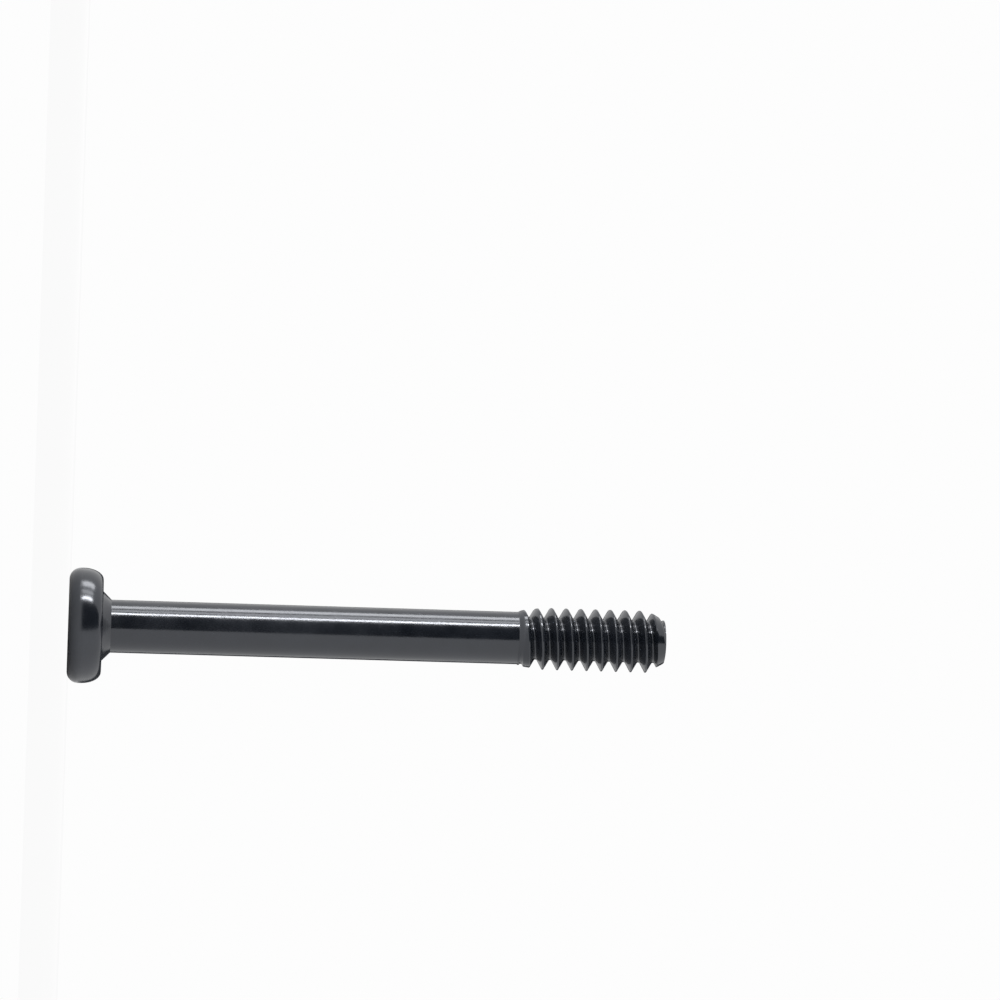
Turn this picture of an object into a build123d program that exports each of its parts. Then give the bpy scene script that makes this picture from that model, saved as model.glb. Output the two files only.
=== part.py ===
"""A partly threaded machine screw with a plain reduced shank, used as a shoulder bolt: steel, coated black.

The real one is made from one length of wire. The head and its cross recess are cold formed, and the
thread is rolled into the end of the blank, so the whole bolt is one solid.

+Z runs along the axis from the head to the point. The origin is the centre of the head's flat driving face,
which is the face that the bolt stands on. Sizes are in millimetres and degrees.
"""

import os
from math import atan, cos, degrees, radians, tan

from build123d import *

# Lengths along the axis
head_height = 1.8  # driving face to seat
length_under_head = 30.0  # seat to point
plain_length = 22.1  # seat to the place where the blank widens for the thread

# Head: a flat round button with a small rounding at the driving face and a longer one towards the seat
head_diameter = 6.1
driving_edge_radius = 0.6
seat_edge_width = 0.6  # radial size of the elliptical rounding on the seat side
side_land = 0.16  # the short straight part of the side, between the two roundings

# Shank, and the cone that strengthens it under the head
shank_diameter = 2.8
neck_diameter = 3.7  # the cone's foot on the seat
neck_angle = 45.0  # between the cone and the axis

# Thread: No. 6 coarse, 32 turns to the inch, right hand, rolled
thread_diameter = 3.32
thread_pitch = 25.4 / 32
thread_depth = 0.54
root_dip = 0.04  # the groove's round bottom is drawn as two facets, which meet this much deeper than the flanks
crest_width = 0.055
flank_angle = 30.0  # between a flank and the plane across the axis
point_diameter = 2.32
point_angle = 30.0  # between the chamfer at the point and the axis

# The thread's start: the metal that the dies push up ends in a low collar, and the groove fades out beside it
collar_height = 0.1  # above the shank
collar_angle = 26.0  # between the collar's ramp and the axis
swell_angle = 8.0  # between the axis and the line along which the first crests rise
fade_turns = 0.77  # the part of a turn in which the groove reaches its depth
full_depth_direction = 180.0  # the side of the axis where it does, from +X towards +Y

# Cross recess for a size 2 driver
recess_span = 4.1
wing_width = 0.9
wing_corner_radius = 0.65  # at the inner corners, between two wings
wing_depth = 1.35
wing_end_angle = 26.5  # between a wing's end wall and the axis
wing_side_angle = 5.75  # between a wing's side wall and the axis
recess_floor_angle = 15.0  # between the cone at the bottom and the driving face

head_radius = head_diameter / 2
shank_radius = shank_diameter / 2
neck_radius = neck_diameter / 2
thread_radius = thread_diameter / 2
root_radius = thread_radius - thread_depth
collar_radius = shank_radius + collar_height
point_radius = point_diameter / 2
recess_radius = recess_span / 2

point_z = head_height + length_under_head
neck_end_z = head_height + (neck_radius - shank_radius) / tan(radians(neck_angle))
ramp_z = head_height + plain_length
collar_z = ramp_z + collar_height / tan(radians(collar_angle))
full_crest_z = collar_z + (thread_radius - collar_radius) / tan(radians(swell_angle))
chamfer_z = point_z - (thread_radius - point_radius) / tan(radians(point_angle))


def groove_cutter(start_radius, start_z, turns, cone_angle):
    """One stretch of the thread groove, as the solid that it takes away, starting on the +X side.

    The root runs on a helix, or on a conical one where the groove fades. The cutter stands clear of the crests
    by a part of their width.
    """
    flank_slope = tan(radians(flank_angle))
    half_mouth = (thread_pitch - crest_width) / 2
    half_root = half_mouth - (thread_depth - root_dip) * flank_slope
    clear_z = half_mouth + crest_width / 4
    clear_r = thread_depth + crest_width / 4 / flank_slope
    with BuildPart() as cutter:
        with BuildLine() as root:
            Helix(
                pitch=thread_pitch / cos(radians(cone_angle)),
                height=thread_pitch * turns,
                radius=start_radius,
                center=(0, 0, start_z),
                cone_angle=cone_angle,
            )
        with BuildSketch(Plane((start_radius, 0, start_z), x_dir=(1, 0, 0), z_dir=(0, 1, 0))):
            with BuildLine():
                Polyline(
                    (0, 0),
                    (root_dip, half_root),
                    (clear_r, clear_z),
                    (clear_r, -clear_z),
                    (root_dip, -half_root),
                    close=True,
                )
            make_face()
        sweep(path=root.wires()[0], is_frenet=True)
    return cutter.part


# The main groove runs from its full depth out through the point. The fading one leads up to it from the ramp.
full_depth_z = ramp_z + fade_turns * thread_pitch
turns_past_point = 0.6
main_turns = (point_z - full_depth_z) / thread_pitch + turns_past_point
main_groove = groove_cutter(root_radius, full_depth_z, main_turns, 0)
fade_angle = degrees(atan((collar_radius - root_radius) / (fade_turns * thread_pitch)))
fading_groove = groove_cutter(collar_radius, ramp_z, fade_turns, -fade_angle)


# Recess: the punch's cross tapers from the driving face inwards, and its wing ends and floor are turned.
with BuildPart() as recess:
    for depth in (0, head_height):
        taper = depth * tan(radians(wing_side_angle))
        with BuildSketch(Plane.XY.offset(depth)) as cross:
            Rectangle(head_diameter, wing_width - 2 * taper)
            Rectangle(wing_width - 2 * taper, head_diameter)
            inner_corners = cross.vertices().sort_by_distance((0, 0, depth))[:4]
            fillet(inner_corners, wing_corner_radius + taper)
    loft(ruled=True)
    with BuildSketch(Plane.XZ):
        floor_radius = recess_radius - wing_depth * tan(radians(wing_end_angle))
        centre_depth = wing_depth + floor_radius * tan(radians(recess_floor_angle))
        with BuildLine():
            Polyline(
                (0, 0),
                (recess_radius, 0),
                (floor_radius, wing_depth),
                (0, centre_depth),
                (0, 0),
            )
        make_face()
    revolve(axis=Axis.Z, mode=Mode.INTERSECT)


# Bolt: the blank is turned from a profile on the side where the groove gets its full depth, so that its seam
# lies there, where the two grooves meet. The grooves and the recess are then taken out of it.
full_depth_side = Plane.XZ.rotated((0, 0, full_depth_direction))
rim_radius = head_radius - driving_edge_radius
seat_edge_radius = head_radius - seat_edge_width
land_end_z = driving_edge_radius + side_land

with BuildPart() as shoulder_bolt:
    with BuildSketch(full_depth_side):
        with BuildLine():
            Line((0, 0), (rim_radius, 0))
            RadiusArc((rim_radius, 0), (head_radius, driving_edge_radius), -driving_edge_radius)
            Line((head_radius, driving_edge_radius), (head_radius, land_end_z))
            EllipticalCenterArc(
                (seat_edge_radius, land_end_z),
                seat_edge_width,
                head_height - land_end_z,
                start_angle=0,
                arc_size=90,
            )
            Polyline(
                (seat_edge_radius, head_height),
                (neck_radius, head_height),
                (shank_radius, neck_end_z),
                (shank_radius, ramp_z),
                (collar_radius, collar_z),
                (thread_radius, full_crest_z),
                (thread_radius, chamfer_z),
                (point_radius, point_z),
                (0, point_z),
                (0, 0),
            )
        make_face()
    revolve(axis=Axis.Z)
    add(main_groove, rotation=(0, 0, full_depth_direction), mode=Mode.SUBTRACT)
    fade_direction = full_depth_direction - 360 * fade_turns
    add(fading_groove, rotation=(0, 0, fade_direction), mode=Mode.SUBTRACT)
    add(recess.part, mode=Mode.SUBTRACT)

shoulder_bolt.part.label = "shoulder_bolt"
os.makedirs("parts", exist_ok=True)
export_step(shoulder_bolt.part, "parts/shoulder_bolt.step")
print("shoulder_bolt", shoulder_bolt.part.bounding_box())
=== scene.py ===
# %% [markdown]
# # A black shoulder bolt
# The real bolt is one piece of steel: the head and its cross recess are cold formed, the thread is rolled
# on, and the whole is coated gloss black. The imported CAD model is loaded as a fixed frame. Its facets are too
# coarse for the mirror-like coating, so the same form is modelled again here with fine, smooth faces.

# %% Load the frame
from math import cos, pi, radians, sin, tan

import bpy
import numpy as np
from mathutils import Matrix, Vector


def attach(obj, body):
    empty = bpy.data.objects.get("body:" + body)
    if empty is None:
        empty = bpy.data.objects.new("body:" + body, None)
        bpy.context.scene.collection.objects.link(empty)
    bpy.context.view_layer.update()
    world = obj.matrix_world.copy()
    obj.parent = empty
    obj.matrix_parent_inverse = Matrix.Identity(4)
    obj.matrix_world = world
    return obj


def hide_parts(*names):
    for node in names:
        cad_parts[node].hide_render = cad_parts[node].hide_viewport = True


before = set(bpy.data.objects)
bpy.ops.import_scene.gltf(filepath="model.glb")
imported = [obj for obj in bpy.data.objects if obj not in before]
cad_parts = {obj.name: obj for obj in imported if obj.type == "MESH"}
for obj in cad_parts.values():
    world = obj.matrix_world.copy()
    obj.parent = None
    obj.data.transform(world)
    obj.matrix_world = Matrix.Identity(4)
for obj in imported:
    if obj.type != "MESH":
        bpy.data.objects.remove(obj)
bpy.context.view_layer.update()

# %% [markdown]
# ## The section of the thread
# A rolled thread has the same section all along its helix, so one pitch of it is drawn once: half a root, a
# flank, the crest, a flank and half a root. The dies leave the crest and the root round, and these small radii
# catch the light as thin bright lines. The section starts as one point, which is extruded along the outline.

# %% Sizes of the thread, and a helper that draws an outline point by point
mm = 0.001
pitch = 25.4 / 32 * mm
thread_radius = 1.66 * mm
root_radius = 1.12 * mm
flank_angle = radians(30)
point_z = 31.8 * mm
ramp_z = 23.9 * mm
collar_z = 24.105 * mm
shank_radius = 1.4 * mm
collar_radius = 1.5 * mm
point_radius = 1.16 * mm
ramp_angle = radians(26)
swell_angle = radians(8)
chamfer_angle = radians(30)
fade_turns = 0.77
full_depth_z = ramp_z + fade_turns * pitch


def edit(mode_name):
    """Turns edit mode on or off, with nothing selected at its start."""
    bpy.ops.object.mode_set(mode=mode_name)
    if mode_name == "EDIT":
        bpy.ops.mesh.select_all(action="DESELECT")


def draw_outline(name, points):
    """An object whose mesh is one open chain of edges through the points."""
    bpy.ops.object.select_all(action="DESELECT")
    bpy.ops.mesh.primitive_plane_add(size=mm, location=(0, 0, 0))
    drawn = bpy.context.object
    drawn.name = name
    bpy.ops.object.mode_set(mode="EDIT")
    bpy.ops.mesh.select_mode(type="VERT")
    bpy.ops.mesh.select_all(action="SELECT")
    bpy.ops.mesh.merge(type="CENTER")
    bpy.ops.transform.translate(value=points[0])
    for here, there in zip(points, points[1:]):
        bpy.ops.mesh.extrude_region_move(TRANSFORM_OT_translate={"value": Vector(there) - Vector(here)})
    bpy.ops.object.mode_set(mode="OBJECT")
    return drawn


# %% One pitch of the section, from root to root
vee_height = pitch / 2 / tan(flank_angle)
crest_radius = 0.06 * mm
root_arc_radius = vee_height - (thread_radius - root_radius) - crest_radius
turns_before_full_depth = 2.5
start_z = full_depth_z - turns_before_full_depth * pitch
arc_steps = 6
flank_steps = 5

half_section = []
for step in range(arc_steps + 1):
    turn = (pi / 2 - flank_angle) * step / arc_steps
    half_section.append((root_arc_radius * sin(turn), root_radius + root_arc_radius * (1 - cos(turn))))
crest_side = []
for step in range(arc_steps + 1):
    turn = (pi / 2 - flank_angle) * (1 - step / arc_steps)
    crest_side.append((pitch / 2 - crest_radius * sin(turn), thread_radius - crest_radius * (1 - cos(turn))))
for step in range(1, flank_steps):
    share = step / flank_steps
    z = half_section[arc_steps][0] * (1 - share) + crest_side[0][0] * share
    r = half_section[arc_steps][1] * (1 - share) + crest_side[0][1] * share
    half_section.append((z, r))
half_section += crest_side
other_half = [(pitch - z, r) for z, r in reversed(half_section[:-1])]
section = half_section + other_half
thread = draw_outline("shoulder_bolt_finish", [(r, 0, start_z + z) for z, r in section])
print("section points", len(section), "root arc radius in mm", round(root_arc_radius / mm, 4))

# %% [markdown]
# ## The thread
# The Screw modifier turns the section about the bolt's axis while it climbs, which is how a thread is made on a
# lathe. It starts two and a half turns below the place where the groove has its full depth, which leaves room
# for the fade, and it ends past the point.

# %% Screw the section along the bolt
steps_per_turn = 128
turns = 13
screw = thread.modifiers.new("thread", "SCREW")
screw.axis = "Z"
screw.angle = 2 * pi
screw.screw_offset = pitch
screw.iterations = turns
screw.steps = steps_per_turn
screw.render_steps = steps_per_turn
screw.use_merge_vertices = False
bpy.context.view_layer.objects.active = thread
bpy.ops.object.modifier_apply(modifier="thread")
print("vertices after the screw", len(thread.data.vertices))

# %% [markdown]
# ## Where the thread begins and ends
# The groove fades out beside a low collar, the first crests rise slowly, and the point is chamfered. These forms
# are turned about the axis while the thread winds round it, so no modelling tool follows both. Each vertex is
# therefore moved in code to the lower of two surfaces: the screwed section, lifted where the groove fades, and
# the turned blank. A soft minimum rounds the edge between them, as rolling does.


# %% Lower each vertex to the blank
edge_rounding = 0.03 * mm
corner_rounding = 0.02 * mm
crest_clearance = 0.04 * mm


def soft_min(a, b, width):
    """The smaller of two arrays, with the corner between them rounded over the width."""
    near = np.clip(1 - np.abs(a - b) / width, 0, None)
    return np.minimum(a, b) - near * near * width / 4


def blank_radius(z):
    """The radius of the turned blank: shank, ramp and collar, rising crests, and the chamfered point."""
    shank = np.full_like(z, shank_radius)
    ramp = shank_radius + (z - ramp_z) * tan(ramp_angle)
    swell = collar_radius + (z - collar_z) * tan(swell_angle)
    chamfer = point_radius + (point_z - z) * tan(chamfer_angle)
    raised = soft_min(ramp, swell, edge_rounding)
    outer = -soft_min(-shank, -raised, corner_rounding)
    outer = np.minimum(outer, thread_radius + crest_clearance)
    return soft_min(outer, chamfer, corner_rounding)


count = len(thread.data.vertices)
place = np.zeros(count * 3)
thread.data.vertices.foreach_get("co", place)
place = place.reshape(-1, 3)
index = np.arange(count)
step_number = index // len(section)
section_z = np.array([z for z, r in section])[index % len(section)]
expected_z = start_z + section_z + pitch * step_number / steps_per_turn
print("screw order holds", bool(np.abs(expected_z - place[:, 2]).max() < 1e-6))

groove_z = start_z + pitch * step_number / steps_per_turn + np.where(section_z > pitch / 2, pitch, 0)
turns_early = np.clip((full_depth_z - groove_z) / pitch, 0, None)
lift = turns_early * (collar_radius - root_radius) / fade_turns
radius = np.hypot(place[:, 0], place[:, 1])
lowered = soft_min(radius + lift, blank_radius(place[:, 2]), edge_rounding)
place[:, 0] *= lowered / radius
place[:, 1] *= lowered / radius
thread.data.vertices.foreach_set("co", place.ravel())
thread.data.update()

# %% [markdown]
# ## The end face, the shank and the head
# The point is cut off square with a bisect that also fills the cut. The open edge at the other end is flattened
# to a ring, which is extruded ring by ring down the shank, out over the seat, round the side of the head and in
# to the driving face, as a turner would follow the outline.


# %% Cut the point and close it
edit("EDIT")
bpy.ops.mesh.select_all(action="SELECT")
bpy.ops.mesh.remove_doubles(threshold=1e-7)
bpy.ops.mesh.select_all(action="SELECT")
bpy.ops.mesh.bisect(
    plane_co=(0, 0, point_z), plane_no=(0, 0, 1), use_fill=True, clear_outer=True, threshold=1e-8
)

# %% Extrude the ring down to the driving face
seat_z = 1.8 * mm
head_radius = 3.05 * mm
rim = 0.6 * mm
land_end = 0.76 * mm
rounding_steps = 12
shank_heights_and_radii = [(22.4, 1.4), (16, 1.4), (9, 1.4), (2.28, 1.4)]
neck_heights_and_radii = [(2.25, 1.402), (2.2, 1.45), (1.82, 1.83), (1.8, 1.86)]
rings = [(z * mm, r * mm) for z, r in shank_heights_and_radii + neck_heights_and_radii]
for step in range(rounding_steps + 1):
    turn = pi / 2 * step / rounding_steps
    rings.append((land_end + (seat_z - land_end) * cos(turn), head_radius - rim + rim * sin(turn)))
for step in range(rounding_steps + 1):
    turn = pi / 2 * step / rounding_steps
    rings.append((rim - rim * sin(turn), head_radius - rim + rim * cos(turn)))
print("rings", len(rings))

bpy.ops.mesh.select_mode(type="EDGE")
bpy.ops.mesh.select_all(action="DESELECT")
bpy.ops.mesh.select_non_manifold(
    use_wire=False, use_multi_face=False, use_non_contiguous=False, use_verts=False
)
ring_z, ring_radius = rings[0]
bpy.ops.mesh.extrude_region_move(TRANSFORM_OT_translate={"value": (0, 0, 0)})
bpy.ops.transform.resize(value=(1, 1, 0), center_override=(0, 0, ring_z))
bpy.ops.mesh.remove_doubles(threshold=1e-7)
for next_z, next_radius in rings[1:]:
    bpy.ops.mesh.extrude_region_move(TRANSFORM_OT_translate={"value": (0, 0, next_z - ring_z)})
    growth = next_radius / ring_radius
    bpy.ops.transform.resize(value=(growth, growth, 1), center_override=(0, 0, next_z))
    ring_z, ring_radius = next_z, next_radius
bpy.ops.mesh.edge_face_add()
bpy.ops.mesh.select_all(action="SELECT")
bpy.ops.mesh.normals_make_consistent(inside=False)
edit("OBJECT")
print("faces of the bolt", len(thread.data.polygons))

# %% [markdown]
# ## The cross recess
# The real recess is struck by a punch, so a punch is modelled and taken away from the head. Its cross is drawn
# as an outline with round inner corners and gets narrower as it goes in. A turned cone gives the sloping ends
# of the wings and the shallow floor.


# %% The punch
wing_side_angle = radians(5.75)
wing_reach = 2.6 * mm
corner_steps = 8


def cross_ring(depth):
    """The outline of the cross at a depth below the driving face."""
    taper = depth * tan(wing_side_angle)
    half = 0.45 * mm - taper
    corner = 0.65 * mm + taper
    quarter = [(wing_reach, half)]
    for step in range(corner_steps + 1):
        turn = pi / 2 * step / corner_steps
        quarter.append((half + corner - corner * sin(turn), half + corner - corner * cos(turn)))
    quarter.append((half, wing_reach))
    ring = []
    for number in range(4):
        c, s = round(cos(number * pi / 2)), round(sin(number * pi / 2))
        ring += [(c * x - s * y, s * x + c * y, depth) for x, y in quarter]
    return ring


outline = cross_ring(-0.2 * mm)
punch = draw_outline("punch", outline)
edit("EDIT")
bpy.ops.mesh.select_all(action="SELECT")
bpy.ops.mesh.edge_face_add()
bpy.ops.mesh.extrude_region_move(TRANSFORM_OT_translate={"value": (0, 0, 1.9 * mm)})
edit("OBJECT")
deep = cross_ring(1.7 * mm)
for vertex in punch.data.vertices:
    if vertex.co.z > 1 * mm:
        near = min(range(len(outline)), key=lambda k: (Vector(outline[k][:2]) - vertex.co.xy).length)
        vertex.co = deep[near]

end_slope = tan(radians(26.5))
recess_radius = 2.05 * mm
wing_depth = 1.35 * mm
floor_slope = tan(radians(15))
start_above = 0.1 * mm
start_radius = recess_radius + start_above * end_slope
floor_radius = recess_radius - wing_depth * end_slope
bpy.ops.object.select_all(action="DESELECT")
bpy.ops.mesh.primitive_circle_add(
    vertices=96, radius=start_radius, fill_type="NGON", location=(0, 0, -start_above)
)
cone = bpy.context.object
bpy.ops.object.transform_apply(location=True)
edit("EDIT")
bpy.ops.mesh.select_all(action="SELECT")
bpy.ops.mesh.extrude_region_move(TRANSFORM_OT_translate={"value": (0, 0, wing_depth + start_above)})
shrink = floor_radius / start_radius
bpy.ops.transform.resize(value=(shrink, shrink, 1), center_override=(0, 0, wing_depth))
bpy.ops.mesh.extrude_region_move(TRANSFORM_OT_translate={"value": (0, 0, floor_radius * 0.9 * floor_slope)})
bpy.ops.transform.resize(value=(0.1, 0.1, 1), center_override=(0, 0, 0))
for piece in (punch, cone):
    bpy.ops.object.mode_set(mode="OBJECT")
    bpy.ops.object.select_all(action="DESELECT")
    bpy.context.view_layer.objects.active = piece
    piece.select_set(True)
    edit("EDIT")
    bpy.ops.mesh.select_all(action="SELECT")
    bpy.ops.mesh.normals_make_consistent(inside=False)
    edit("OBJECT")


# %% Cut the punch to the cone, and the head to the punch
def cut(body, tool, how):
    """Applies an exact Boolean and removes the tool."""
    boolean = body.modifiers.new("cut", "BOOLEAN")
    boolean.operation = how
    boolean.solver = "EXACT"
    boolean.object = tool
    bpy.ops.object.select_all(action="DESELECT")
    bpy.context.view_layer.objects.active = body
    body.select_set(True)
    bpy.ops.object.modifier_apply(modifier="cut")
    bpy.data.objects.remove(tool)
    print(body.name, how, "faces", len(body.data.polygons))


cut(punch, cone, "INTERSECT")
cut(thread, punch, "DIFFERENCE")
bpy.ops.object.shade_smooth_by_angle(angle=radians(32))

# %% [markdown]
# ## The coating
# The bolt is steel with a thin gloss black coating. A dielectric film over a nearly black ground gives the eye
# deep blacks and clear, slightly wavy reflections. The waviness is orange peel, about a quarter of a millimetre
# across, and faint smudges from handling change the gloss from place to place.


# %% Helpers for materials
def srgb(code):
    """A colour from its sRGB hex code, as linear values with full alpha."""
    parts = [int(code[k : k + 2], 16) / 255 for k in (0, 2, 4)]
    return [p / 12.92 if p <= 0.04045 else ((p + 0.055) / 1.055) ** 2.4 for p in parts] + [1]


def add_node(tree, kind, values=None, links=None, **settings):
    """Adds a node with its settings, its input values and the sockets that feed it."""
    node = tree.nodes.new(kind)
    for name, value in settings.items():
        setattr(node, name, value)
    for name, value in (values or {}).items():
        node.inputs[name].default_value = value
    for name, socket in (links or {}).items():
        tree.links.new(socket, node.inputs[name])
    return node


def new_material(name):
    """A material with an empty node tree and its output."""
    made = bpy.data.materials.new(name)
    made.use_nodes = True
    made.node_tree.nodes.clear()
    return made, made.node_tree, made.node_tree.nodes.new("ShaderNodeOutputMaterial")


# %% Gloss black coating on rolled steel
coating, tree, output = new_material("gloss_black_coated_rolled_steel")
where = add_node(tree, "ShaderNodeTexCoord").outputs["Object"]
peel_per_metre = 1 / (0.28 * mm)
smudge_per_metre = 1 / (2.4 * mm)
peel = add_node(
    tree, "ShaderNodeTexNoise", {"Scale": peel_per_metre, "Detail": 2.0, "Roughness": 0.5}, {"Vector": where}
)
smudge = add_node(
    tree, "ShaderNodeTexNoise", {"Scale": smudge_per_metre, "Detail": 3.0, "Roughness": 0.6}, {"Vector": where}
)
tint = add_node(tree, "ShaderNodeValToRGB", links={"Fac": smudge.outputs["Fac"]})
tint.color_ramp.elements[0].position = 0.35
tint.color_ramp.elements[0].color = srgb("111419")
tint.color_ramp.elements[1].position = 0.75
tint.color_ramp.elements[1].color = srgb("1d2026")
gloss = add_node(
    tree,
    "ShaderNodeMapRange",
    {"From Min": 0.3, "From Max": 0.75, "To Min": 0.13, "To Max": 0.23},
    {"Value": smudge.outputs["Fac"]},
)
wave = add_node(
    tree, "ShaderNodeBump", {"Strength": 0.28, "Distance": 0.010 * mm}, {"Height": peel.outputs["Fac"]}
)
film = add_node(
    tree,
    "ShaderNodeBsdfPrincipled",
    {"IOR": 1.74, "Metallic": 0.0, "Specular Tint": srgb("eef1f8")},
    {"Base Color": tint.outputs["Color"], "Roughness": gloss.outputs["Result"], "Normal": wave.outputs["Normal"]},
)
tree.links.new(film.outputs["BSDF"], output.inputs["Surface"])
thread.data.materials.clear()
thread.data.materials.append(coating)

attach(thread, "root")
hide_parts("shoulder_bolt")

# %% [markdown]
# ## The studio
# A black gloss part is drawn by what it mirrors. White surroundings give its charcoal planes, a dark screen
# behind the camera gives its black band, and two long lamps on one side give the bright lines along it. The
# floor is plain and pale, and keeps the bolt's shadow.

# %% Surroundings and floor
white = srgb("fdfdfd")
world = bpy.data.worlds.new("white_studio")
bpy.context.scene.world = world
world.use_nodes = True
tree = world.node_tree
tree.nodes.clear()
path = add_node(tree, "ShaderNodeLightPath").outputs
first = add_node(tree, "ShaderNodeMath", operation="MAXIMUM")
tree.links.new(path["Is Camera Ray"], first.inputs[0])
tree.links.new(path["Is Glossy Ray"], first.inputs[1])
seen = add_node(tree, "ShaderNodeMath", operation="MAXIMUM")
tree.links.new(first.outputs[0], seen.inputs[0])
tree.links.new(path["Is Transmission Ray"], seen.inputs[1])
shown = add_node(tree, "ShaderNodeBackground", {"Color": white, "Strength": 1.0})
lit = add_node(tree, "ShaderNodeBackground", {"Color": white, "Strength": 0.85})
mix = add_node(tree, "ShaderNodeMixShader", links={"Fac": seen.outputs[0]})
tree.links.new(lit.outputs[0], mix.inputs[1])
tree.links.new(shown.outputs[0], mix.inputs[2])
tree.links.new(mix.outputs[0], add_node(tree, "ShaderNodeOutputWorld").inputs["Surface"])

paper, tree, output = new_material("matt_white_paper")
path = add_node(tree, "ShaderNodeLightPath").outputs
matt = add_node(tree, "ShaderNodeBsdfDiffuse", {"Color": srgb("f4f4f4")})
glow = add_node(tree, "ShaderNodeEmission", {"Color": white, "Strength": 1.0})
share = add_node(tree, "ShaderNodeMath", {1: 0.85}, {0: path["Is Camera Ray"]}, operation="MULTIPLY")
mix = add_node(tree, "ShaderNodeMixShader", links={"Fac": share.outputs[0]})
tree.links.new(matt.outputs[0], mix.inputs[1])
tree.links.new(glow.outputs[0], mix.inputs[2])
tree.links.new(mix.outputs[0], output.inputs["Surface"])
bpy.ops.object.select_all(action="DESELECT")
bpy.ops.mesh.primitive_circle_add(vertices=96, radius=2.0, fill_type="NGON", location=(0, 0, 0))
floor = bpy.context.object
floor.name = "floor"
floor.data.materials.append(paper)


# %% Dark screens, seen only in the bolt's reflections
def screen(name, sides, y, heights, colour):
    """A flat upright screen. It shows only in reflections and shades nothing."""
    left, right = sides
    low, high = heights
    corners = [(left, y, low), (right, y, low), (right, y, high), (left, y, high)]
    mesh = bpy.data.meshes.new(name)
    mesh.from_pydata(corners, [], [(0, 1, 2, 3)])
    made = bpy.data.objects.new(name, mesh)
    bpy.context.scene.collection.objects.link(made)
    cloth, tree, output = new_material(name + "_cloth")
    shade = add_node(tree, "ShaderNodeEmission", {"Color": srgb(colour), "Strength": 1.0})
    tree.links.new(shade.outputs[0], output.inputs["Surface"])
    mesh.materials.append(cloth)
    made.visible_camera = False
    made.visible_diffuse = False
    made.visible_shadow = False
    return made


screen("front_screen", (-0.36, 0.05), -0.3, (-0.4, 1.2), "1c1f24")
# The grey screen behind the bolt is painted shade: its dim glow, seen only in the bolt's edges, stands in for
# shaded floor beside a lying bolt.
screen("painted_shade_screen", (-0.1, 0.2), 0.3, (-0.3, 0.4), "4a4c50")


# %% Lamps
def lamp(name, bearing, distance, width, length, brightness, height):
    """A long lamp parallel to the bolt. The bearing turns from the camera's side towards +X."""
    light = bpy.data.lights.new(name, "AREA")
    light.shape = "RECTANGLE"
    light.size = width
    light.size_y = length
    light.energy = brightness * pi * width * length
    made = bpy.data.objects.new(name, light)
    bpy.context.scene.collection.objects.link(made)
    place = Vector((distance * sin(radians(bearing)), -distance * cos(radians(bearing)), height))
    made.location = place
    made.rotation_euler = (Vector((0, 0, height)) - place).to_track_quat("-Z", "Y").to_euler()
    made.visible_camera = False
    return made


lamp("edge_lamp", -57, 0.18, 0.018, 0.16, 26.0, 0.02)
lamp("upper_lamp", -92, 0.18, 0.045, 0.16, 6.0, 0.02)
lamp("middle_lamp", -72, 0.18, 0.028, 0.16, 3.4, 0.02)

# %% [markdown]
# ## The camera
# A long lens stands level with the head. It is rolled by a right angle, so that the standing bolt lies along
# the picture, with its point a little lower than its head.

# %% Camera
camera_data = bpy.data.cameras.new("long_lens")
camera_data.lens = 142.1
camera_data.clip_start = 0.01
camera = bpy.data.objects.new("camera", camera_data)
bpy.context.scene.collection.objects.link(camera)
forward = Vector((-0.03482, 0.99363, 0.10722)).normalized()
right = Vector((-0.02931, -0.10826, 0.99369))
right = (right - forward * right.dot(forward)).normalized()
up = right.cross(forward)
turn = Matrix((right, up, -forward)).transposed()
camera.matrix_world = Matrix.Translation((0, -0.21, 0.0001)) @ turn.to_4x4()
bpy.context.scene.camera = camera
bpy.context.scene.view_settings.view_transform = "Standard"
